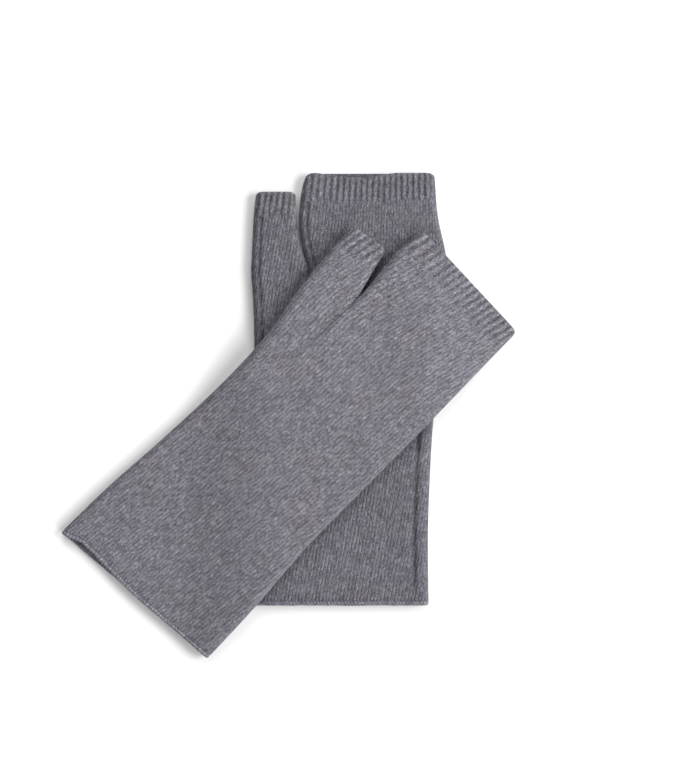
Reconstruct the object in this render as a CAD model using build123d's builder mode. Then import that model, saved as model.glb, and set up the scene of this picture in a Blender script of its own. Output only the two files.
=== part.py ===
from build123d import *
import os
from dataclasses import dataclass
from math import cos, hypot, radians, sin

# A pair of fingerless gloves in fine stockinette, laid flat in a crossed pile.
# Millimetres, +Z up.  The origin is on the floor under the middle of the pile.
# Each glove is a back panel and a palm panel, linked by seams along their sides.  Both panels
# end in a 1x1 rib at the fingers and in a rolled edge at the wrist.  The thumb sleeve is made
# the same way and hinges on its base line.

# Driving dimensions
WALL = 1.2  # stockinette
RIB_WALL = 1.5  # ribs are thicker than the stockinette they grow from
THICK = 7.8  # a glove lying empty, outside to outside
CLEAR = 0.2  # between the two gloves, and between a thumb sleeve and its hand
FINGER_RIB = 14.6  # height of the rib at the fingers
THUMB_RIB = 13.0  # height of the rib round the thumb
ROLL = 3.0  # how far up the glove the rolled wrist edge reaches
ROLL_HEIGHT = 1.8  # and how thick it is
CORNER = 2.5  # radius of the ribs' outer corners, seen from above
REACH = 300.0  # longer than the pile, for cutting solids


@dataclass
class Glove:
    """One glove's plan: its own X runs across it, its Y from the middle of the hem to the fingers."""

    name: str
    origin: tuple  # where the middle of the hem lies
    turn: float  # degrees about +Z
    rests_on: list  # (X, Z) points of what it lies on, from left to right
    hem: list  # thumb side, outer side
    thumb_side: list  # hem to thumb, outside the hem itself
    thumb_base: list  # outer end, inner end
    index_side: list  # crotch to finger edge
    outer_side: list  # finger edge to hem
    thumb_outer: list  # above the base line, to the thumb's edge
    thumb_inner: list  # from the thumb's edge down to the base line

    def plane(self):
        """The glove's plan, on the floor."""
        x_dir = (cos(radians(self.turn)), sin(radians(self.turn)), 0)
        return Plane(origin=(*self.origin, 0), x_dir=x_dir, z_dir=(0, 0, 1))


# The upper glove climbs on to the lower one past its thumb side and drops to the floor again
# past its outer side.
STEP_UP = (-44.7, -24.7)
STEP_DOWN = (87.3, 107.3)
ON_TOP = THICK + CLEAR

LOWER = Glove(
    name="lower",
    origin=(25.6, -102.9),
    turn=0.0,
    rests_on=[(-REACH, 0), (REACH, 0)],
    hem=[(-49.3, 0), (49.3, 0)],
    thumb_side=[(-46.0, 90), (-44.1, 141)],
    thumb_base=[(-45.9, 181), (-15.8, 181)],
    index_side=[(-13.4, 180.5), (-18.0, 196), (-19.6, 208), (-19.3, 222), (-15.5, 233.1)],
    outer_side=[(52.5, 233.1), (54.6, 208), (59.6, 184), (58.0, 155), (52.0, 102), (49.0, 50)],
    thumb_outer=[(-46.3, 187), (-45.2, 211), (-43.9, 223)],
    thumb_inner=[(-22.0, 223), (-21.4, 206), (-20.0, 196)],
)
UPPER = Glove(
    name="upper",
    origin=(-83.0, -96.6),
    turn=-46.5,
    rests_on=[
        (-REACH, 0),
        (STEP_UP[0], 0),
        (STEP_UP[1], ON_TOP),
        (STEP_DOWN[0], ON_TOP),
        (STEP_DOWN[1], 0),
        (REACH, 0),
    ],
    hem=[(-51.6, -5.4), (51.5, 5.4)],
    thumb_side=[(-50.5, 69), (-50.5, 128), (-53.2, 155), (-57.0, 172)],
    thumb_base=[(-59.6, 188.5), (-34.2, 192.4)],
    index_side=[(-31.8, 192.8), (-34.3, 204), (-36.5, 223), (-37.0, 234), (-34.3, 246.5)],
    outer_side=[(38.7, 246.5), (39.7, 220), (43.4, 112), (44.5, 85), (48.8, 42)],
    thumb_outer=[(-62.4, 219), (-61.0, 222)],
    thumb_inner=[(-41.9, 225.2), (-39.7, 217), (-35.9, 204)],
)


def between(start, end, amount):
    """The point that lies amount millimetres along from start to end."""
    share = amount / hypot(end[0] - start[0], end[1] - start[1])
    return (start[0] + (end[0] - start[0]) * share, start[1] + (end[1] - start[1]) * share)


def cloth(glove, outline, low, high, zone=None, corner=0.0):
    """The cloth inside a plan outline, between two heights above what the glove lies on.

    zone is a second outline that keeps only part of the first.  corner rounds the two corners
    furthest along the glove.
    """
    with BuildPart() as piece:
        with BuildSketch(glove.plane()) as plan:
            with BuildLine():
                Polyline(*outline, close=True)
            make_face()
            if zone:
                with BuildLine():
                    Polyline(*zone, close=True)
                make_face(mode=Mode.INTERSECT)
            if corner:
                up_the_glove = Axis(glove.plane().origin, glove.plane().y_dir)
                fillet(plan.vertices().sort_by(up_the_glove)[-2:], corner)
        extrude(amount=REACH)
        with BuildSketch(Plane.XZ):
            with BuildLine():
                under = [(x, z + low) for x, z in glove.rests_on]
                over = [(x, z + high) for x, z in reversed(glove.rests_on)]
                Polyline(*under, *over, close=True)
            make_face()
        extrude(amount=REACH, both=True, mode=Mode.INTERSECT)
    return piece


def strip(side, width):
    """The outline of a seam: one side of the glove, and the same line moved inwards by width."""
    return [*side, *[(x + width, y) for x, y in reversed(side)]]


def above_hem(glove, distance):
    """The hem's two ends, moved up the glove at right angles to the hem."""
    left, right = (Vector(*end) for end in glove.hem)
    up = (right - left).normalized().rotate(Axis.Z, 90) * distance
    return [((end + up).X, (end + up).Y) for end in (left, right)]


def rolled_edge(glove, bottom):
    """The wrist edge, curled into a roll that runs the width of one panel."""
    start, end = (glove.plane().from_local_coords(Vector(*p, 0)) for p in above_hem(glove, ROLL / 2))
    along = end - start
    centre = start + Vector(0, 0, bottom + ROLL_HEIGHT / 2)
    with BuildPart() as roll:
        with BuildSketch(Plane(origin=centre, x_dir=along.rotate(Axis.Z, 90), z_dir=along)):
            RectangleRounded(ROLL, ROLL_HEIGHT, ROLL_HEIGHT / 2 - 0.05)
        extrude(amount=along.length)
    return roll


def hand(glove):
    """The hand of one glove, from the rolled wrist edge to the finger rib."""
    left, right = glove.hem
    finger_edge = glove.outer_side[0][1]
    rib_line = finger_edge - FINGER_RIB
    whole = [left, *glove.thumb_side, *glove.thumb_base, *glove.index_side, *glove.outer_side, right]
    roll_left, roll_right = above_hem(glove, ROLL)
    above_roll = [
        between(roll_left, roll_right, -ROLL),
        (-REACH, rib_line),
        (REACH, rib_line),
        between(roll_right, roll_left, -ROLL),
    ]
    above_rib = [(-REACH, rib_line), (-REACH, REACH), (REACH, REACH), (REACH, rib_line)]
    thumb_side = [*glove.thumb_side, glove.thumb_base[0]]
    thumb_seam_line = [between(left, thumb_side[0], ROLL), *thumb_side]
    outer_seam_line = [*glove.outer_side, between(right, glove.outer_side[-1], ROLL)]
    return {
        "back_panel": cloth(glove, whole, THICK - WALL, THICK, above_roll),
        "palm_panel": cloth(glove, whole, 0, WALL, above_roll),
        "finger_rib_back": cloth(glove, whole, THICK - RIB_WALL, THICK, above_rib, CORNER),
        "finger_rib_palm": cloth(glove, whole, 0, RIB_WALL, above_rib, CORNER),
        "wrist_roll_back": rolled_edge(glove, THICK - ROLL_HEIGHT),
        "wrist_roll_palm": rolled_edge(glove, 0),
        "outer_side_seam": cloth(glove, strip(outer_seam_line, -WALL), RIB_WALL, THICK - RIB_WALL),
        "thumb_side_seam": cloth(glove, strip(thumb_seam_line, WALL), WALL, THICK - WALL),
        "index_side_seam": cloth(glove, strip(glove.index_side, WALL), RIB_WALL, THICK - RIB_WALL),
    }


def thumb(glove):
    """The thumb sleeve of one glove, from its base line to its rib's edge."""
    outer, inner = glove.thumb_base
    lift = [(x, y + CLEAR) for x, y in (outer, inner)]
    whole = [lift[0], *glove.thumb_outer, *glove.thumb_inner, lift[1]]
    top_outer = glove.thumb_outer[-1]
    top_inner = glove.thumb_inner[0]
    rib_low = [(top_outer[0], top_outer[1] - THUMB_RIB), (top_inner[0], top_inner[1] - THUMB_RIB)]
    slope = (rib_low[1][1] - rib_low[0][1]) / (rib_low[1][0] - rib_low[0][0])
    far_left = (rib_low[0][0] - REACH, rib_low[0][1] - slope * REACH)
    far_right = (rib_low[1][0] + REACH, rib_low[1][1] + slope * REACH)
    below_rib = [far_left, far_right, (REACH, -REACH), (-REACH, -REACH)]
    above_rib = [far_left, far_right, (REACH, REACH), (-REACH, REACH)]
    outer_line = [lift[0], *glove.thumb_outer]
    inner_line = [*glove.thumb_inner, lift[1]]
    return {
        "thumb_back": cloth(glove, whole, THICK - WALL, THICK, below_rib),
        "thumb_palm": cloth(glove, whole, 0, WALL, below_rib),
        "thumb_rib_back": cloth(glove, whole, THICK - RIB_WALL, THICK, above_rib),
        "thumb_rib_palm": cloth(glove, whole, 0, RIB_WALL, above_rib),
        "thumb_outer_seam": cloth(glove, strip(outer_line, WALL), RIB_WALL, THICK - RIB_WALL),
        "thumb_inner_seam": cloth(glove, strip(inner_line, -WALL), RIB_WALL, THICK - RIB_WALL),
    }


os.makedirs("parts", exist_ok=True)
for pair_half in (LOWER, UPPER):
    for zone_name, zone_piece in {**hand(pair_half), **thumb(pair_half)}.items():
        zone_piece.part.label = f"{pair_half.name}_{zone_name}"
        export_step(zone_piece.part, f"parts/{zone_piece.part.label}.step")
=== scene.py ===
from math import cos, pi, radians, sin

import bmesh
import bpy
import numpy as np
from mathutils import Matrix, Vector


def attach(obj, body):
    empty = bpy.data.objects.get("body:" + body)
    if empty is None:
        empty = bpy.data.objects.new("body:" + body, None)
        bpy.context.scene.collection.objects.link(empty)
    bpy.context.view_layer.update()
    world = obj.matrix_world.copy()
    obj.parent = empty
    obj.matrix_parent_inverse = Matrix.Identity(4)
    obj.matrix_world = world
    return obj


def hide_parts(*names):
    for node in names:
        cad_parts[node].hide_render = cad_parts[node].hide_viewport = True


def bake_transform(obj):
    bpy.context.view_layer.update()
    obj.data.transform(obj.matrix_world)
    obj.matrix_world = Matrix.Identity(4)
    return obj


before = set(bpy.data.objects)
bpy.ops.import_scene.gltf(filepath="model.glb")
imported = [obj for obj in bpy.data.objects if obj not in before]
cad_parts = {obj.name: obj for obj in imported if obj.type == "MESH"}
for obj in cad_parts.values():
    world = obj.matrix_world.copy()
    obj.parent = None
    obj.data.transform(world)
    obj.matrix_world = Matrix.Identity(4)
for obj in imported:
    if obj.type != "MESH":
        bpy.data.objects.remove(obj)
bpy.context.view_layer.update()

# A crossed pair of fingerless gloves, knitted stitch by stitch.  Sizes are millimetres until a
# mesh is made.  Each glove has its own plan: u runs across it, from the thumb's side to the
# little finger's, and v from the middle of the hem to the fingers.  A panel is a grid whose
# columns follow the wales (the upright files of stitches) and whose rows follow the courses.  s
# counts wales across a row; z is the height over the middle of the glove's thickness.

MM = 0.001

# Camera
LENS = 100.0
SENSOR = 36.0
VIEW_LENGTH = 411.5  # how much of the floor the picture shows, top to bottom
VIEW_CENTRE = (27.4, 18.5)

# The cloth
HEIGHT = 7.0  # a glove lying empty, outside to outside
FOLD = HEIGHT / 2  # radius of the folds at its sides
LEVEL = 0.35  # how far a glove is raised, to leave room for the stitches underneath
ON_TOP = 8.0  # how much higher the upper glove lies where it crosses the lower one
STEP_UP = -34.7  # the middles, along x, of the slopes at the crossing's two sides
STEP_DOWN = 97.3
WALL = 1.2  # thickness of the stockinette
RIB_WALL = 1.5
RIM = 0.8  # how far a sheet's edge goes straight down under its stitches
WALE = 1.84  # a stitch's width
COURSE = 1.40  # and its height
PER_WALE = 4  # grid columns in a wale
PER_COURSE = 2  # grid rows in a course
ROW = COURSE / PER_COURSE
SHARED = 4  # grid rows that a sheet looks at past its rib line, on its neighbour
ROLL = 2.6  # from the hem's edge to where the panel's face begins
ROLL_RADIUS = 1.05
ROLL_LUMPS = 26  # the places at which the rolled edge gets its thickness
SEAM_RADIUS = 0.62
SEAM_STEP = 0.35  # between a seam's rings
CORNER = 2.6  # radius of a sleeve's outline at its open end
FINGER_RIB = 14.6
THUMB_RIB = 13.0
DEPTH = 0.33  # half of a stitch's relief
CLIMB = 1.4  # courses that a stitch's leg climbs
VALLEY = 14.0  # how far the dip between thumb and hand runs down from where they part

# The outlines are (u, v) points.  lean and lean_top slant the wale that starts where thumb and
# hand part, fan spreads the wales and gusset moves them over below the thumb.  hem_in draws the
# rolled edge in, hem_groove is how deep the line above it sinks and how much painted shade goes
# into that line, the rib's groove shade is how much darker its purl wales are painted, a painted
# shade in their recess, dip lowers the middle of the finger edge and recede the thumb's side of
# the hem.  A groove is (distance from the left side, or from the right if negative, v from, v to,
# depth, width), its depth also setting how much painted shade goes into it, and a ridge is
# (u, v, u, v, height, width).
GLOVES = {
    "lower": dict(
        origin=(25.6, -102.9),
        turn=0.0,
        lift=0.0,
        hem=[(-49.3, 0), (49.3, 0)],
        thumb_side=[(-47.0, 60), (-46.0, 90), (-44.1, 141), (-44.8, 165)],
        thumb_base=[(-45.9, 181), (-14.6, 181)],
        index_side=[(-17.8, 192), (-20.0, 204), (-19.6, 217), (-17.7, 227.7), (-15.9, 233.1)],
        outer_side=[(52.5, 233.1), (54.2, 211), (58.5, 190), (59.6, 180), (57.5, 150), (52.0, 102),
                    (50.0, 70), (49.0, 40)],
        thumb_outer=[(-45.6, 187), (-44.5, 208), (-43.2, 223)],
        thumb_inner=[(-22.3, 223), (-21.6, 208), (-20.4, 197)],
        lean=0.17,
        lean_top=0.13,
        fan=0.0026,
        gusset=5.0,
        recede=0.0,
        hem_in=0.9,
        hem_groove=1.0,
        rib_groove_shade=0.20,
        dip=2.5,
        side_grooves=[(-9.2, 5, 165, 0.9, 1.3)],
        thumb_grooves=[(6.3, 120, 260, 0.85, 0.9)],
        ridges=[(-15, 178, -8, 150, 0.5, 3.0)],
        seed=11,
    ),
    "upper": dict(
        origin=(-83.0, -96.6),
        turn=-46.5,
        lift=ON_TOP,
        hem=[(-51.6, -6.0), (51.5, 4.8)],
        thumb_side=[(-51.9, 31), (-50.5, 69), (-50.5, 128), (-53.2, 155), (-57.0, 172)],
        thumb_base=[(-60.2, 192.0), (-33.0, 196.0)],
        index_side=[(-33.2, 204), (-35.2, 219), (-36.7, 234), (-34.9, 246.5)],
        outer_side=[(38.7, 246.5), (39.7, 220), (41.8, 166), (43.4, 112), (44.5, 85), (48.8, 42)],
        thumb_outer=[(-61.9, 210), (-61.6, 222)],
        thumb_inner=[(-41.5, 225.2), (-39.3, 217), (-35.8, 205)],
        lean=0.07,
        lean_top=0.19,
        fan=-0.0004,
        gusset=8.0,
        recede=3.0,
        hem_in=0.4,
        hem_groove=0.35,
        rib_groove_shade=0.30,
        dip=0.0,
        side_grooves=[],
        thumb_grooves=[],
        ridges=[(-33, 193, -29, 168, 1.0, 2.0)],
        seed=23,
    ),
}


# ------------------------------------------------------------------ the plan and its rows

def curve(points):
    """A smooth u(v) through (u, v) points."""
    pts = sorted(points, key=lambda p: p[1])
    u = np.array([p[0] for p in pts], float)
    v = np.array([p[1] for p in pts], float)
    slope = np.diff(u) / np.diff(v)
    tangent = np.concatenate([slope[:1], (slope[1:] + slope[:-1]) / 2, slope[-1:]])

    def at(x):
        i = int(np.clip(np.searchsorted(v, x) - 1, 0, len(v) - 2))
        h = v[i + 1] - v[i]
        t = np.clip((x - v[i]) / h, 0, 1)
        return float(
            (1 + 2 * t) * (1 - t) ** 2 * u[i]
            + t * (1 - t) ** 2 * h * tangent[i]
            + t * t * (3 - 2 * t) * u[i + 1]
            - t * t * (1 - t) * h * tangent[i + 1]
        )

    return at


def smooth(x):
    """From 0 to 1 as x goes from 0 to 1, level at both ends."""
    x = np.clip(x, 0, 1)
    return x * x * (3 - 2 * x)


def mix(a, b, f):
    """From a to b as f goes from 0 to 1."""
    return a + (b - a) * f


def make_row(points, folds, zero, shift, parting, spread=None):
    """One row of the cloth, sampled: s, u, v, z, arc length and the three parts of the way out.

    folds is each point's share of a full fold, and spread the share by which the wales make room
    for it.  zero is the u at which s is 0, parting the point on the side where the thumb and the
    hand part, and shift(u) how far the wales are moved over.
    """
    points = np.array(points, float)
    knots = np.concatenate([[0], np.cumsum(np.hypot(*np.diff(points, axis=0).T))])
    near = FOLD * (1 - np.cos(np.linspace(0, pi / 2, 12)))
    q = [np.linspace(a, b, 24) for a, b in zip(knots[:-1], knots[1:])]
    q += [k + sign * near for k in knots for sign in (-1, 1)]
    q = np.unique(np.clip(np.concatenate(q), 0, knots[-1]).round(5))

    def profile(shares):
        rise = np.ones_like(q)
        hollow = np.full_like(q, 0.06)
        for knot, fold in zip(knots, shares):
            d = np.clip(np.abs(q - knot) / FOLD, 0, 1)
            rise -= fold * (1 - np.sqrt(1 - (1 - d) ** 2))
            hollow *= 1 - fold * np.exp(-np.clip(np.abs(q - knot) - FOLD, 0, None) / 8.0)
        return np.clip(rise - hollow, 0, 1) * FOLD

    z = profile(folds)
    u = np.interp(q, knots, points[:, 0])
    v = np.interp(q, knots, points[:, 1])
    rise = np.diff(profile(spread or folds))
    arc = np.concatenate([[0], np.cumsum(np.hypot(np.diff(q), rise))])
    s = (arc - np.interp(knots[parting], q, arc) + points[parting][0] - zero + shift(u)) / WALE
    du, dv, dz = np.gradient(u), np.gradient(v), np.gradient(z)
    flat = np.hypot(du, dv)
    size = np.hypot(flat, dz)
    return s, u, v, z, arc, -dz * du / flat / size, -dz * dv / flat / size, flat / size


def cut(row, s_end):
    """The part of a row up to a wale."""
    s = row[0]
    keep = s < s_end - 1e-9
    return tuple(np.append(x[keep], np.interp(s_end, s, x)) for x in row)


def plan(glove):
    """The rows of a glove's hand, thumb and their ribs.

    slit is the hand's row at which the thumb and the hand part, and first gives the number of each
    part's first row, counted from the hem.
    """
    (hem_left, hem_right), (base, crotch) = glove["hem"], glove["thumb_base"]
    left = curve([hem_left, *glove["thumb_side"], base])
    index = curve([crotch, *glove["index_side"]])
    outer = curve([hem_right, *glove["outer_side"]])
    thumb_outer = curve([base, *glove["thumb_outer"]])
    thumb_inner = curve([crotch, *glove["thumb_inner"]])
    top_left, top_right = glove["index_side"][-1][1], glove["outer_side"][0][1]
    tip_left, tip_right = glove["thumb_outer"][-1][1], glove["thumb_inner"][0][1]

    def ease(x, width):
        x = np.clip(x, 0, None)
        return float(x**2 / (x + width))

    def zero(v):
        x = v - crotch[1]
        more = glove["lean_top"] - glove["lean"]
        return crotch[0] + glove["lean"] * x + more * ease(x + 15, 25)

    def shift(v):
        gusset = glove["gusset"] * smooth((v - crotch[1] + 60) / 60)
        fan = glove["fan"] * ease(v - crotch[1] + 50, 30)
        return lambda u: gusset * smooth((crotch[0] + 22 - u) / 45) + fan * (u - crotch[0])

    def inset(v, end):
        x = np.clip((v - end + CORNER) / CORNER, 0, 1)
        return CORNER * float(1 - np.sqrt(1 - x * x * 0.98))

    # The rows up to where the thumb and the hand part.  The hem may slant, so a row's v is mixed
    # at its left end, at the crotch and at its right end.
    slit_right = mix(crotch[1], top_right, 0.02)
    v_mid = mix(hem_left[1], hem_right[1], (crotch[0] - hem_left[0]) / (hem_right[0] - hem_left[0]))
    start = ROLL / (crotch[1] - v_mid)
    slit = int(round((crotch[1] - v_mid - ROLL) / ROW))
    hand = []
    for i in range(slit + 1):
        f = start + (1 - start) * i / slit
        vl, vr = mix(hem_left[1], base[1], f), mix(hem_right[1], slit_right, f)
        vm = mix(v_mid, crotch[1], f)
        dip = float(1 - smooth((crotch[1] - vm) / VALLEY))
        make_room = float(1 - smooth((crotch[1] - vm) / 80))
        points = [(left(vl), vl), (crotch[0], vm), (outer(vr), vr)]
        hand.append(make_row(points, (1, dip, 1), zero(vm), shift(vm), 1, (1, make_room, 1)))
    thumb = [cut(row, 0.0) for row in hand[-SHARED - 1 :]]

    def tubular(rows, low, high, sides, end, parting):
        """The rows with more of them on top, from low to high, each (left v, right v)."""
        rows = list(rows)
        count = int(round((high[0] - low[0]) / ROW))
        for i in range(1, count + 1):
            v = [mix(low[k], high[k], i / count) for k in (0, 1)]
            u = [side(x) + inset(x, e) * way for side, x, e, way in zip(sides, v, end, (1, -1))]
            ends = list(zip(u, v))
            rows.append(make_row(ends, (1, 1), zero(v[parting]), shift(v[parting]), parting))
        return rows

    tops = (top_left, top_right)
    rib_line = (top_left - FINGER_RIB, top_right - FINGER_RIB)
    hand = tubular(hand, (crotch[1], slit_right), rib_line, (index, outer), tops, 0)
    rib = tubular(hand[-SHARED - 1 :], rib_line, tops, (index, outer), tops, 0)
    tips = (tip_left, tip_right)
    rib_line = (tip_left - THUMB_RIB, tip_right - THUMB_RIB)
    thumb_sides = (thumb_outer, thumb_inner)
    thumb = tubular(thumb, (base[1], crotch[1]), rib_line, thumb_sides, tips, 1)
    thumb_rib = tubular(thumb[-SHARED - 1 :], rib_line, tips, thumb_sides, tips, 1)
    first_thumb = slit - SHARED
    first = {
        "hand": 0,
        "rib": len(hand) - SHARED - 1,
        "thumb": first_thumb,
        "thumb_rib": first_thumb + len(thumb) - SHARED - 1,
    }
    return dict(hand=hand, rib=rib, thumb=thumb, thumb_rib=thumb_rib, slit=slit, first=first)


# ------------------------------------------------------------------ from rows to cloth

def stitch_relief(s, row, jitter, rib, rib_groove_shade):
    """How far the face stands out at s and a grid row, how many rows it climbs, and its painted
    shade, darker in the stitches' hollows and lighter on their crests.

    rib goes from 0, stockinette, to 1, where every other wale is purl, draws in and is painted
    darker by the rib's groove shade, a painted shade in the purl wale's recess.
    """
    high_row = row % PER_COURSE == 0

    # x runs from 0, the middle of a stitch's V, over the top of its leg to 0.5, the gap beside it
    def face(x):
        high = np.interp(x, [0, 0.25, 0.5], [0.30, 1.0, -0.75])
        low = np.interp(x, [0, 0.25, 0.5], [-0.30, 0.30, -1.1])
        return np.where(high_row, high, low) * DEPTH * jitter

    x = np.abs(s - np.floor(s) - 0.5)
    # in the rib a knit wale and a purl wale make a pair, and d is how far off its knit wale s is
    pair = s / 2 - np.floor(s / 2)
    d = np.abs(pair - 0.25)
    d = np.minimum(d, 1 - d)
    knit = d < 0.32
    x_rib = np.clip(d / 0.64, 0, 0.5)
    climb = -CLIMB * PER_COURSE * (1 - 2 * x)
    climb_rib = np.where(knit, -CLIMB * PER_COURSE * (1 - 2 * x_rib), -0.3)
    # painted shade: the rib's colour follows its knit relief, and the purl wales are painted darker
    # in their recess
    rib_relief_and_shade = np.where(knit, 0.8 * face(x_rib), -rib_groove_shade + 0.25 * face(x))
    h_rib = np.where(knit, 0.24 - 0.6 * d + rib_relief_and_shade, -0.44 + 0.25 * face(x))
    return mix(face(x), h_rib, rib), mix(climb, climb_rib, rib), mix(face(x), rib_relief_and_shade, rib)


def once(ids):
    """The numbers in their order, each once."""
    return list(dict.fromkeys(np.asarray(ids).tolist()))


def edges_of(lines):
    """The four borders of a grid of vertices, given as its rows."""
    left, right = [line[0] for line in lines], [line[-1] for line in lines]
    return dict(bottom=lines[0], right=right, top=lines[-1], left=left)


def outer_face(glove, rows, kind, rng, first, skip, beyond, slit, grooves):
    """The stitched face of a sheet.

    It gives the vertices, the points under them, the faces, a painted shade (darker in the
    stitches' hollows, lighter on their crests, and darker in the grooves and in the line above the
    rolled edge), knit coordinates (wale and course), borders, and the vertices' numbers by row and
    column.  The first skip rows and the last beyond rows belong to the sheets next to it, and only
    shape the stitches at the border.
    """
    n = len(rows)
    s_left = np.array([r[0][0] for r in rows])[:, None]
    s_right = np.array([r[0][-1] for r in rows])[:, None]
    length = np.array([r[4][-1] for r in rows])[:, None]
    k0 = int(np.floor(s_left.min() * PER_WALE))
    k1 = int(np.ceil(s_right.max() * PER_WALE))
    s = (np.arange(k0, k1 + 1) / PER_WALE)[None, :]
    left, right = s <= s_left + 1e-6, s >= s_right - 1e-6
    s_here = np.clip(s, s_left, s_right)
    samples = [[np.interp(s_here[j], r[0], x) for x in r[1:4] + r[5:]] for j, r in enumerate(rows)]
    base = np.moveaxis(np.stack(samples), 1, 2)
    t = np.stack([np.interp(s_here[j], r[0], r[4]) for j, r in enumerate(rows)])
    level = np.arange(n)[:, None]
    row = np.broadcast_to(level + first, s_here.shape)
    # no two stitches stand out by the same amount
    uneven = rng.uniform(0.65, 1.35, (512, 512))
    jitter = uneven[np.floor(s_here).astype(int) % 512, row // PER_COURSE % 512]
    rib = smooth((level - (skip if kind == "rib" else n - 1 - beyond)) / SHARED)
    # the third value is a painted shade: darker in the stitches' hollows, lighter on their crests
    h, climb, tone_and_painted_light = stitch_relief(s_here, row, jitter, rib, glove["rib_groove_shade"])
    # the relief dies out at the sides, over the last millimetre
    h = h * smooth(np.minimum(t, length - t))
    climb = np.where(left | right, 0, climb)
    for where, low, high, deep, width in grooves:
        off = t - where if where > 0 else length - t + where
        along = smooth((base[..., 1] - low) / 12) * smooth((high - base[..., 1]) / 12)
        dent = deep * np.exp(-((off / width) ** 2)) * along
        h = h - dent
        # painted shade: each groove is also drawn darker
        tone_and_painted_light = tone_and_painted_light - 0.5 * dent
    if first == 0:
        dent = np.exp(-level * ROW / 1.6)
        h = h - 0.9 * glove["hem_groove"] * dent
        # painted shade: the line above the rolled edge is also drawn darker
        tone_and_painted_light = tone_and_painted_light - 0.35 * glove["hem_groove"] * dent
    if kind == "rib":
        # the cast-off edge is a small smooth bead
        near = (n - 1 - level) * ROW
        bead = smooth((1.9 - near) / 0.7)
        climb = climb * smooth((near - 0.5) / 2.0)
        rounded = np.sqrt(np.clip(1 - ((near - 0.75) / 1.2) ** 2, 0, 1))
        h = h * (1 - 0.6 * bead) + bead * 0.30 * rounded
    # a stitch's legs rise with the cloth: each point looks some rows further on
    j = np.clip(level + climb, 0, n - 1)
    if slit is not None:
        j = np.where((s < -1e-6) & (row > slit), np.maximum(j, slit + 1), j)
    j0 = np.floor(j).astype(int)
    j1 = np.minimum(j0 + 1, n - 1)
    f = (j - j0)[..., None]
    cols = np.broadcast_to(np.arange(s.shape[1])[None, :], j.shape)
    pos = base[j0, cols] * (1 - f) + base[j1, cols] * f
    ends = left | right
    pos[ends] = base[ends]
    # every column past a row's end shares its end vertex
    ids = np.arange(n * s.shape[1]).reshape(n, -1)
    for i in range(n):
        ids[i, left[i]] = ids[i, max(int(left[i].sum()) - 1, 0)]
        ids[i, right[i]] = ids[i, min(s.shape[1] - int(right[i].sum()), s.shape[1] - 1)]
    quads = np.stack([ids[:-1, :-1], ids[:-1, 1:], ids[1:, 1:], ids[1:, :-1]], -1)
    quads[:skip] = 0
    quads[n - 1 - beyond :] = 0
    extra = []
    # past the slit the rows start at the crotch, and what is left of it belongs to the thumb
    if slit is not None:
        zero = -k0
        quads[slit, :zero] = 0
        above = once(ids[slit + 1, : zero + 1])
        crotch = int(ids[slit, zero])
        extra = [[crotch, b, a] for a, b in zip(above[:-1], above[1:])]
    # where columns meet at an end vertex a quad is a triangle, or nothing
    quads = quads.reshape(-1, 4)
    same = quads == np.roll(quads, -1, axis=1)
    whole = ~same.any(axis=1) & (quads[:, 0] != quads[:, 2]) & (quads[:, 1] != quads[:, 3])
    faces = quads[whole].tolist() + extra + [once(q) for q in quads[same.sum(axis=1) == 1]]
    faces = [f for f in faces if len(f) > 2]
    lines = [once(ids[i]) for i in range(skip, n - beyond)]
    borders = edges_of(lines)
    if slit is not None:
        borders["left"] = [line[0] for line in lines[: slit + 1]]
        borders["base"] = once(ids[slit, : zero + 1])
        borders["index"] = [crotch] + [line[0] for line in lines[slit + 1 :]]
    knit = np.stack([s_here, row / PER_COURSE], -1)
    way = pos[..., 3:] / np.linalg.norm(pos[..., 3:], axis=-1)[..., None]
    out = (pos[..., :3] + way * h[..., None]).reshape(-1, 3)
    under = (pos[..., :3] - way * RIM).reshape(-1, 3)
    return out, under, faces, tone_and_painted_light.reshape(-1), knit.reshape(-1, 2), borders, ids


def inner_face(rows, skip, slit, wall):
    """The plain inner face under the same rows: a coarse grid, finer at the folds."""
    fine = np.array([0, 1.4, 2.8, 4.2, 5.7])
    thumb_cells, hand_cells, sleeve_cells = 6, 14, 8
    pos, faces, knit, lines = [], [], [], []
    picks = set(range(skip, len(rows) - 1, 6)) | {len(rows) - 1} | ({slit} if slit else set())
    picks = sorted(picks)

    def spread(a, b, n):
        near = min(1.0, (b - a) / 14)
        middle = np.linspace(a + near * fine[-1], b - near * fine[-1], n)[1:-1]
        return np.concatenate([a + near * fine, middle, b - near * fine[::-1]])

    for j in picks:
        s, u, v, z, arc, *way = rows[j]
        if slit is not None and j <= slit:
            middle = np.interp(0, s, arc)
            t = spread(middle, arc[-1], hand_cells)
            t = np.concatenate([spread(0, middle, thumb_cells), t[1:]])
        else:
            t = spread(0, arc[-1], sleeve_cells if slit is None else hand_cells)
        lines.append(list(range(len(knit), len(knit) + len(t))))
        n = np.stack([np.interp(t, arc, x) for x in way], -1)
        n *= wall / np.linalg.norm(n, axis=1)[:, None]
        pos += (np.stack([np.interp(t, arc, x) for x in (u, v, z)], -1) - n).tolist()
        knit += np.stack([np.interp(t, arc, s), 0 * t + (j - skip) / PER_COURSE], -1).tolist()
    split = 2 * len(fine) + thumb_cells - 3
    for i in range(len(picks) - 1):
        low, high = lines[i], lines[i + 1]
        if slit is not None and picks[i] == slit:
            low = low[split:]
        faces += [[low[k], low[k + 1], high[k + 1], high[k]] for k in range(len(high) - 1)]
    borders = edges_of(lines)
    if slit is not None:
        i = picks.index(slit)
        borders["left"] = [line[0] for line in lines[: i + 1]]
        borders["base"] = lines[i][: split + 1]
        borders["index"] = [lines[i][split]] + [line[0] for line in lines[i + 1 :]]
    return np.array(pos), faces, np.array(knit), borders


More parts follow.
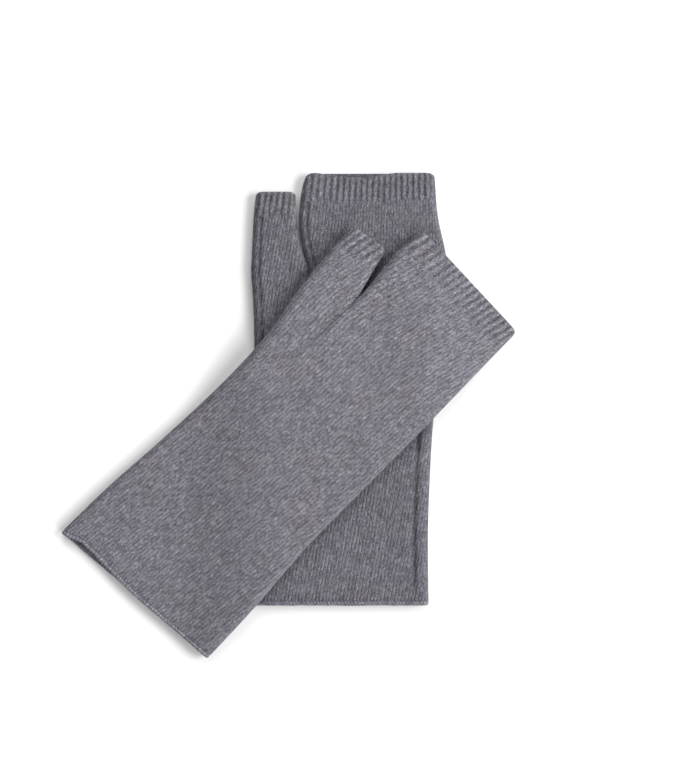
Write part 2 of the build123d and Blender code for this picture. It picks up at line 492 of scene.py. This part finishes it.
def run_length(line):
    """How far along a line of points each one is."""
    return np.concatenate([[0], np.cumsum(np.linalg.norm(np.diff(line, axis=0), axis=1))])


def tangents(line):
    """The line's direction at each of its points."""
    tangent = np.gradient(line, axis=0)
    return tangent / np.linalg.norm(tangent, axis=1)[:, None]


def zip_up(a, b, pos):
    """Triangles between two lists of vertices that run side by side."""

    def run(ids):
        d = run_length(pos[ids])
        return d / max(d[-1], 1e-9)

    ra, rb = run(a), run(b)
    i = j = 0
    faces = []
    while i < len(a) - 1 or j < len(b) - 1:
        if j == len(b) - 1 or (i < len(a) - 1 and ra[i + 1] <= rb[j + 1]):
            faces.append([a[i], a[i + 1], b[j]])
            i += 1
        else:
            faces.append([a[i], b[j + 1], b[j]])
            j += 1
    return faces


def unevenness(u, v, seed):
    """The slow waves of cloth that lies by itself, about -1 to 1."""
    rng = np.random.default_rng(seed)
    total = np.zeros_like(u)
    for wavelength, share in ((80, 0.35), (46, 0.30), (28, 0.22), (17, 0.13)):
        for _ in range(2):
            a, phase = rng.uniform(0, 2 * pi, 2)
            total += share * 0.75 * np.sin((u * cos(a) + v * sin(a)) * 2 * pi / wavelength + phase)
    return total


def place(glove, pos, side):
    """From a glove's plan to the shared frame, in metres.

    side is 1 for the back and -1 for the palm.  The back has the cloth's waves and ridges, and its
    two ends are drawn in where recede and dip say.
    """
    u, v, z = (x.copy() for x in np.asarray(pos, float).T)
    share = np.clip(z / FOLD, 0, 1.2)
    if side > 0:
        lift = 0.32 * unevenness(u, v, glove["seed"])
        for u0, v0, u1, v1, height, width in glove["ridges"]:
            du, dv = u1 - u0, v1 - v0
            along = ((u - u0) * du + (v - v0) * dv) / (du * du + dv * dv)
            off = (u - u0 - along * du, v - v0 - along * dv)
            fade = smooth((along + 0.05) / 0.2) * smooth((1.0 - along) / 0.6)
            lift = lift + height * fade * np.exp(-(off[0] ** 2 + off[1] ** 2) / width**2)
        z = z + lift * share
        near_hem = np.exp(-np.clip(v, 0, None) / 22)
        v = v + glove["recede"] * smooth((u + 52) / 13) * smooth((4 - u) / 44) * near_hem
        near_fingers = smooth((v - 196) / 37)
        v = v - glove["dip"] * smooth((u + 14) / 22) * smooth((33 - u) / 18) * near_fingers
    z = FOLD + side * z
    a = radians(glove["turn"])
    x = glove["origin"][0] + u * cos(a) - v * sin(a)
    y = glove["origin"][1] + u * sin(a) + v * cos(a)
    if glove["lift"]:
        # the underside turns up steeply beside what it lies on, the top runs over it slowly
        half = 10 + 18 * np.clip(z / HEIGHT, 0, 1)
        up = smooth((x - STEP_UP + half) / (2 * half))
        down = smooth((STEP_DOWN + half - x) / (2 * half))
        z = z + glove["lift"] * up * down
    return np.stack([x, y, np.maximum(z + LEVEL, 0.02)], -1) * MM


def to_object(name, pos, faces, knit, relief_and_shade, material, sharp=(), normals=None):
    """A closed mesh in the shared frame, with its knit coordinates and its painted shade as
    attributes.

    sharp is a set of edges, as pairs of vertices, and a normal of 0 is left to the mesh.
    """
    used = np.unique([i for f in faces for i in f])
    new = np.full(len(pos), -1)
    new[used] = np.arange(len(used))
    mesh = bpy.data.meshes.new(name)
    mesh.from_pydata(pos[used].tolist(), [], [[int(new[i]) for i in f] for f in faces])
    mesh.polygons.foreach_set("use_smooth", [True] * len(mesh.polygons))
    if sharp:
        pairs = np.zeros(2 * len(mesh.edges), int)
        mesh.edges.foreach_get("vertices", pairs)
        old = used[pairs].reshape(-1, 2).tolist()
        flags = [frozenset(pair) in sharp for pair in old]
        mesh.attributes.new("sharp_edge", "BOOLEAN", "EDGE").data.foreach_set("value", flags)
    if normals is not None:
        mesh.normals_split_custom_set_from_vertices(normals[used].tolist())
    vector = np.zeros((len(used), 3), np.float32)
    vector[:, :2] = knit[used]
    mesh.attributes.new("knit", "FLOAT_VECTOR", "POINT").data.foreach_set("vector", vector.ravel())
    value = relief_and_shade[used].astype(np.float32)
    mesh.attributes.new("relief_and_shade", "FLOAT", "POINT").data.foreach_set("value", value)
    mesh.materials.append(material)
    ob = bpy.data.objects.new(name, mesh)
    bpy.context.scene.collection.objects.link(ob)
    return ob


def cloth(
    name, glove, side, rows, kind, material, first, skip=0, beyond=0, slit=None, grooves=()
):
    """A closed sheet of knit, plain or rib: its stitched face, its inner face and their rims."""
    rng = np.random.default_rng(glove["seed"] * 10 + side)
    out, under, faces, relief_and_shade, knit, border, ids = outer_face(
        glove, rows, kind, rng, first, skip, beyond, slit, grooves
    )
    rows = rows[: len(rows) - beyond]
    wall = RIB_WALL if kind == "rib" else WALL
    inn, faces_in, knit_in, border_in = inner_face(rows, skip, slit, wall)
    inn[:, 2] = np.maximum(inn[:, 2], 0.05)  # back and palm never meet inside
    # a rim goes straight down under its stitches before it crosses to the inner face
    edges = sorted({i for edge in border.values() for i in edge})
    shift = len(out) + len(edges)
    sunk = {i: len(out) + n for n, i in enumerate(edges)}
    every = np.concatenate([out, under[edges], inn])
    faces = faces + [[i + shift for i in f[::-1]] for f in faces_in]
    rim = {frozenset(pair) for edge in border.values() for pair in zip(edge[:-1], edge[1:])}
    for key, edge in border.items():
        below = [sunk[i] for i in edge]
        strip = [[edge[i], edge[i + 1], below[i + 1], below[i]] for i in range(len(edge) - 1)]
        strip += zip_up(below, [i + shift for i in border_in[key]], every)
        faces += [f[::-1] for f in strip] if key in ("bottom", "right") else strip
    if side < 0:
        faces = [f[::-1] for f in faces]
    knit = np.concatenate([knit, knit[edges], knit_in])
    # the rims and the inner face get one painted shade, a little darker than the outer face
    relief_and_shade = np.concatenate([relief_and_shade, np.full(len(edges) + len(inn), -0.1)])
    every = place(glove, every, side)
    # the stitches run on over the rib line, so both sheets have the same normals there
    normals = np.zeros_like(every)
    j = skip if kind == "rib" else len(rows) - 1
    up = every[ids[j + 1]] - every[ids[j - 1]]
    normal = side * np.cross(np.gradient(every[ids[j]], axis=0), up)
    size = np.linalg.norm(normal, axis=1)[:, None]
    normals[ids[j]] = np.where(size > 1e-12, normal / np.maximum(size, 1e-12), 0)
    return to_object(name, every, faces, knit, relief_and_shade, material, rim, normals)


def tube(name, glove, side, centre, across, along, radii, knit_s, bumps, material, sides):
    """A closed tube of knit about a line in a glove's plan.

    Its section has the axes across and along, with radii to match, and bumps gives the relief at
    a wale coordinate and a share of a turn.  The same relief is painted into the colour as shade,
    darker in the hollows and lighter on the bumps.
    """
    n = len(centre)
    phi = np.linspace(0, 2 * pi, sides, endpoint=False)
    out = np.zeros((n, sides, 3))
    relief_and_shade = bumps(knit_s[:, None], phi[None, :] / (2 * pi))
    r0, r1 = radii
    for k, p in enumerate(phi):
        out[:, k] = (
            centre
            + across * ((r0 + relief_and_shade[:, k]) * cos(p))[:, None]
            + along * ((r1 + relief_and_shade[:, k]) * sin(p))[:, None]
        )
    faces = []
    for i in range(n - 1):
        for k in range(sides):
            a, b = i * sides + k, i * sides + (k + 1) % sides
            faces.append([a, b, b + sides, a + sides])
    faces.append(list(range(sides))[::-1])
    faces.append([(n - 1) * sides + k for k in range(sides)])
    tangent = centre[1] - centre[0]
    if np.dot(np.cross(across[0], along[0]), tangent) * side < 0:
        faces = [f[::-1] for f in faces]
    knit = np.stack([np.repeat(knit_s, sides), np.tile(phi * 1.1, n)], -1)
    pos = place(glove, out.reshape(-1, 3), side)
    return to_object(name, pos, faces, knit, relief_and_shade.reshape(-1), material)


def rolled_edge(name, glove, side, row, material):
    """The cut edge of stockinette, curled over by itself, so that its purl side shows."""
    s, u, v, z = row[:4]
    ks = np.arange(np.ceil(s[0] * 6), np.floor(s[-1] * 6) + 1) / 6
    ks = np.concatenate([[s[0]], ks[(ks > s[0] + 0.05) & (ks < s[-1] - 0.05)], [s[-1]]])
    line = np.stack([np.interp(ks, s, x) for x in (u, v, z)], -1)
    tangent = tangents(line)
    along = np.stack([-tangent[:, 1], tangent[:, 0], 0 * ks], -1)
    along[:] = along[len(along) // 2]
    across = np.cross(tangent, along)
    across *= np.sign(across[len(across) // 2, 2])
    rng = np.random.default_rng(glove["seed"] + 5 * side)
    swells = rng.uniform(-0.12, 0.12, ROLL_LUMPS)
    radius = ROLL_RADIUS + np.interp(ks, np.linspace(ks[0], ks[-1], ROLL_LUMPS), swells)
    wales = np.arange(ks[0] - 1, ks[-1] + 2)
    uneven = np.interp(ks, wales, rng.uniform(-0.1, 0.1, len(wales)))
    centre = line - across * (radius * 0.95 - uneven)[:, None]
    centre = centre - along * (ROLL - ROLL_RADIUS - glove["hem_in"])

    def bumps(sk, turn):
        purl = np.cos(2 * pi * (turn * 5 + 0.5 * (np.floor(sk * 2) % 2)))
        return 0.16 * purl + 0.13 * np.cos(2 * pi * sk)

    radii = (radius, radius * 1.05)
    return tube(name, glove, side, centre, across, along, radii, ks, bumps, material, 24)


def seam(name, glove, rows, end, material):
    """The linking stitches at the rows' left or right end, which join the back and the palm."""
    at, outwards = (0, -1) if end == "left" else (-1, 1)
    path = np.array([[r[1][at], r[2][at], 0.0] for r in rows])
    d = run_length(path)
    t = np.linspace(0, d[-1], int(d[-1] / SEAM_STEP))
    line = np.stack([np.interp(t, d, x) for x in path.T], -1)
    tangent = tangents(line)
    across = np.stack([tangent[:, 1], -tangent[:, 0], 0 * t], -1) * outwards
    along = np.zeros_like(line)
    along[:, 2] = 1
    centre = line - across * (SEAM_RADIUS * 0.75)

    def bumps(sk, turn):
        return 0.16 * np.cos(2 * pi * (sk + 0.35 * np.sin(2 * pi * turn)))

    radii = (SEAM_RADIUS, SEAM_RADIUS * 1.15)
    return tube(name, glove, 1, centre, across, along, radii, t / COURSE, bumps, material, 10)


# ------------------------------------------------------------------ materials

def wool(name, tone_and_painted_light):
    """A heathered knit: yarn flecks, uneven stitches, streaks along the wales, soft patches and
    painted shade in the hollows between the stitches.
    """
    mat = bpy.data.materials.new(name)
    mat.use_nodes = True
    tree = mat.node_tree
    tree.nodes.clear()
    links = tree.links

    def node(kind, **inputs):
        n = tree.nodes.new(kind)
        for key, value in inputs.items():
            if hasattr(n, key):
                setattr(n, key, value)
            else:
                n.inputs[key.replace("_", " ")].default_value = value
        return n

    def stretched(where, scale):
        n = node("ShaderNodeVectorMath", operation="MULTIPLY")
        links.new(where, n.inputs[0])
        n.inputs[1].default_value = scale
        return n.outputs[0]

    def noise(where, scale, detail=2.0, roughness=0.5):
        n = node("ShaderNodeTexNoise", Scale=scale, Detail=detail, Roughness=roughness)
        links.new(where, n.inputs["Vector"])
        return n.outputs["Fac"]

    def ranged(x, a, b, c, d):
        """x from a to b becomes c to d."""
        n = node("ShaderNodeMapRange", From_Min=a, From_Max=b, To_Min=c, To_Max=d)
        links.new(x, n.inputs["Value"])
        return n.outputs[0]

    knit = node("ShaderNodeAttribute", attribute_name="knit").outputs["Vector"]
    # the painted shade made from the stitches' relief
    relief_and_shade = node("ShaderNodeAttribute", attribute_name="relief_and_shade").outputs["Fac"]
    spot = node("ShaderNodeTexCoord").outputs["Object"]

    # each half stitch has its own tone
    cell = node("ShaderNodeVectorMath", operation="FLOOR")
    links.new(stretched(knit, (2.0, 1.0, 1.0)), cell.inputs[0])
    chance = node("ShaderNodeTexWhiteNoise", noise_dimensions="3D")
    links.new(cell.outputs[0], chance.inputs["Vector"])
    value = ranged(chance.outputs["Value"], 0, 1, 0.74, 1.26)

    streak = noise(stretched(knit, (0.75, 0.28, 1.0)), 1.0, 3.0)
    yarn = noise(stretched(knit, (2.4, 1.6, 1.0)), 1.0, 2.0)
    fibre = noise(spot, 2600.0, 2.0, 0.7)
    factors = (
        ranged(streak, 0.3, 0.7, 0.84, 1.16),
        ranged(yarn, 0.54, 0.72, 1.0, 1.75),  # light flecks
        ranged(yarn, 0.26, 0.44, 0.52, 1.0),  # dark flecks
        ranged(fibre, 0.3, 0.7, 0.78, 1.22),
        ranged(noise(spot, 1000.0, 1.0), 0.32, 0.68, 0.72, 1.28),
        ranged(noise(spot, 150.0, 4.0, 0.6), 0.3, 0.7, 0.90, 1.10),
        ranged(relief_and_shade, -0.42, 0.34, 0.42, 1.18),  # painted shade in the hollows between the stitches, painted light on their crests
    )
    for factor in factors:
        product = node("ShaderNodeMath", operation="MULTIPLY")
        links.new(value, product.inputs[0])
        links.new(factor, product.inputs[1])
        value = product.outputs[0]

    # a cooler and a warmer grey, in wide patches
    r, g, b = tone_and_painted_light
    tint = node("ShaderNodeMix", data_type="RGBA")
    links.new(ranged(noise(spot, 55.0, 2.0), 0.35, 0.65, 0.0, 1.0), tint.inputs["Factor"])
    for socket, shade in ((6, (r * 0.985, g, b * 1.02, 1)), (7, (r * 1.015, g, b * 0.98, 1))):
        grey = node("ShaderNodeRGB")
        grey.outputs[0].default_value = shade
        links.new(grey.outputs[0], tint.inputs[socket])
    colour = node("ShaderNodeVectorMath", operation="SCALE")
    links.new(tint.outputs[2], colour.inputs[0])
    links.new(value, colour.inputs["Scale"])

    bump = node("ShaderNodeBump", Strength=0.45, Distance=0.00012)
    links.new(fibre, bump.inputs["Height"])
    shader = node(
        "ShaderNodeBsdfPrincipled",
        Roughness=0.93,
        Specular_IOR_Level=0.18,
        Sheen_Weight=0.22,
        Sheen_Roughness=0.30,
        Sheen_Tint=(0.9, 0.9, 1.0, 1),
    )
    links.new(colour.outputs[0], shader.inputs["Base Color"])
    links.new(bump.outputs[0], shader.inputs["Normal"])
    out = node("ShaderNodeOutputMaterial")
    links.new(shader.outputs[0], out.inputs["Surface"])
    return mat


# the same yarn for both gloves; the lower glove's grey is painted darker, a painted shade for the
# glove that lies underneath
TONES_WITH_SHADE = {"lower": (0.131, 0.127, 0.147), "upper": (0.166, 0.161, 0.185)}
# the rolled edge is painted lighter, a painted highlight where its roll catches the light
SHADES_WITH_HIGHLIGHT = {"stockinette": 1.0, "rib_knit": 1.02, "rolled_edge": 1.25, "linking_yarn": 0.9}
WOOLS = {
    (key, slot): wool(f"{key}_{slot}", tuple(part * shade for part in tone_and_painted_light))
    for key, tone_and_painted_light in TONES_WITH_SHADE.items()
    for slot, shade in SHADES_WITH_HIGHLIGHT.items()
}


# ------------------------------------------------------------------ the gloves

for key, glove in GLOVES.items():
    rows = plan(glove)
    first, slit = rows["first"], rows["slit"]
    hand, rib, thumb, thumb_rib = (rows[part] for part in ("hand", "rib", "thumb", "thumb_rib"))
    hand_body, thumb_body = f"{key}_glove", f"{key}_thumb"
    made = {}

    def keep(part, ob, slot, body):
        """Lets a visible piece stand for its part of the CAD, riding a body unless that's None."""
        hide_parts(f"{key}_{part}")
        made[part] = ob
        if body is not None:
            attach(ob, body)

    def sheet(part, side, part_rows, first_row, body, slot="stockinette", **more):
        kind = "rib" if slot == "rib_knit" else "plain"
        name = f"{key}_{part}_knit"
        ob = cloth(name, glove, side, part_rows, kind, WOOLS[key, slot], first_row, **more)
        keep(part, ob, slot, body)

    for side, word in ((1, "back"), (-1, "palm")):
        side_grooves = glove["side_grooves"] if side > 0 else []
        thumb_grooves = glove["thumb_grooves"] if side > 0 else []
        sheet(
            f"{word}_panel", side, hand + rib[SHARED + 1 : 2 * SHARED + 1], 0, hand_body,
            beyond=SHARED, slit=slit, grooves=side_grooves + thumb_grooves,
        )
        sheet(f"finger_rib_{word}", side, rib, first["rib"], hand_body, "rib_knit", skip=SHARED)
        name = f"wrist_roll_{word}"
        roll = rolled_edge(f"{key}_{name}_knit", glove, side, hand[0], WOOLS[key, "rolled_edge"])
        keep(name, roll, "rolled_edge", hand_body)
        sheet(
            f"thumb_{word}", side, thumb + thumb_rib[SHARED + 1 : 2 * SHARED + 1], first["thumb"],
            None, skip=SHARED, beyond=SHARED, grooves=thumb_grooves,
        )
        sheet(
            f"thumb_rib_{word}", side, thumb_rib, first["thumb_rib"], thumb_body, "rib_knit",
            skip=SHARED,
        )

    whole_hand = hand + rib[SHARED + 1 :]
    whole_thumb = (thumb + thumb_rib[SHARED + 1 :])[SHARED + 1 :]
    for part, part_rows, end, body in (
        ("outer_side_seam", whole_hand, "right", hand_body),
        ("thumb_side_seam", hand[: slit + 1], "left", hand_body),
        ("index_side_seam", whole_hand[slit + 1 :], "left", hand_body),
        ("thumb_outer_seam", whole_thumb, "left", None),
        ("thumb_inner_seam", whole_thumb, "right", None),
    ):
        yarn = WOOLS[key, "linking_yarn"]
        ob = seam(f"{key}_{part}_stitches", glove, part_rows, end, yarn)
        keep(part, ob, "linking_yarn", body)

    # the points where the thumb leaves the hand, in the shared frame, and the thumb's own pieces
    # with their transforms put into their meshes
    base = [Vector(place(glove, [[*p, FOLD]], 1)[0]) for p in glove["thumb_base"]]
    for part in ("thumb_back", "thumb_palm", "thumb_outer_seam", "thumb_inner_seam"):
        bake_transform(made[part])


# ------------------------------------------------------------------ floor, light and camera

# in metres and watts
FLOOR = 2.1
FLOOR_GAP = 0.0001
DIM_WALLS = 0.14  # how bright the walls are as a light; they look white

scene = bpy.context.scene
bm = bmesh.new()
bmesh.ops.create_grid(bm, x_segments=8, y_segments=8, size=FLOOR / 2)
floor_mesh = bpy.data.meshes.new("floor")
bm.to_mesh(floor_mesh)
bm.free()
floor = bpy.data.objects.new("floor", floor_mesh)
scene.collection.objects.link(floor)
floor.location = (0, 0, -FLOOR_GAP)
paper = bpy.data.materials.new("floor_paper")
paper.use_nodes = True
surface = paper.node_tree.nodes["Principled BSDF"]
surface.inputs["Base Color"].default_value = (0.86, 0.86, 0.86, 1)
surface.inputs["Roughness"].default_value = 0.9
floor_mesh.materials.append(paper)

target = Vector((VIEW_CENTRE[0] * MM, VIEW_CENTRE[1] * MM, 0))


def area_light(name, offset, size, power):
    """A round light, turned to the middle of the picture."""
    data = bpy.data.lights.new(name, "AREA")
    data.shape = "DISK"
    data.size = size
    data.energy = power
    ob = bpy.data.objects.new(name, data)
    ob.location = target + Vector(offset)
    ob.rotation_euler = (-Vector(offset)).to_track_quat("-Z", "Y").to_euler()
    scene.collection.objects.link(ob)


area_light("key", (1.70, 0.10, 1.45), 1.5, 50.0)
area_light("top", (0.20, 1.65, 1.50), 1.5, 31.0)
area_light("side", (1.2, -1.3, 1.10), 1.3, 28.0)
area_light("fill", (-1.1, 1.0, 1.6), 1.3, 8.0)

# the studio's walls look white and give a little light
world = bpy.data.worlds.new("studio")
world.use_nodes = True
walls = world.node_tree.nodes["Background"]
walls.inputs["Color"].default_value = (1, 1, 1, 1)
seen = world.node_tree.nodes.new("ShaderNodeLightPath")
level = world.node_tree.nodes.new("ShaderNodeMapRange")
level.inputs["To Min"].default_value = DIM_WALLS
level.inputs["To Max"].default_value = 1.0
world.node_tree.links.new(seen.outputs["Is Camera Ray"], level.inputs["Value"])
world.node_tree.links.new(level.outputs["Result"], walls.inputs["Strength"])
scene.world = world
scene.view_settings.view_transform = "Standard"

camera_data = bpy.data.cameras.new("camera")
camera_data.lens = LENS
camera_data.sensor_width = SENSOR
camera_data.sensor_fit = "AUTO"
camera_data.clip_end = 20
camera = bpy.data.objects.new("camera", camera_data)
camera.location = target + Vector((0, 0, LENS / SENSOR * VIEW_LENGTH * MM))
scene.collection.objects.link(camera)
scene.camera = camera
